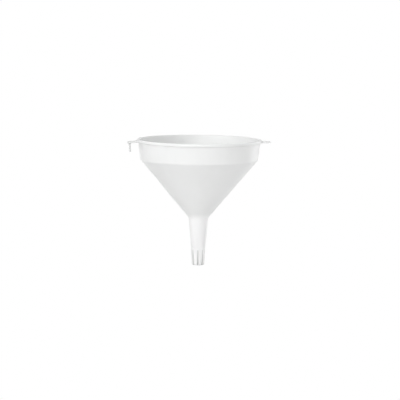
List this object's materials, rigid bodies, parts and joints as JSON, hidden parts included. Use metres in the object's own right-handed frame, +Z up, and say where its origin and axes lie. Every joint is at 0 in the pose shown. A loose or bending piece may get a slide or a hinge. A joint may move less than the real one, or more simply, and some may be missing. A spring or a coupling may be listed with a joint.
{
  "type": "funnel",
  "caption": "Translucent moulded plastic filling funnel with a splash collar, a slender ribbed spout, a pot hook and a hanging tab.",
  "frame": {"origin": "centre of the spout's outlet, at the lowest point", "axes": "+Z up the funnel's axis towards the mouth, +X towards the hanging tab, -X towards the pot hook"},
  "size_m": [0.1384, 0.12, 0.1219],
  "materials": {
    "polypropylene": "natural polypropylene, milky and translucent, satin as moulded"
  },
  "bodies": {
    "root": {"spout": "polypropylene", "vent_ribs": "polypropylene", "bowl": "polypropylene", "collar": "polypropylene", "rim_lip": "polypropylene", "hang_tab": "polypropylene", "hook_arm": "polypropylene", "hook_leg": "polypropylene"}
  },
  "joints": []
}
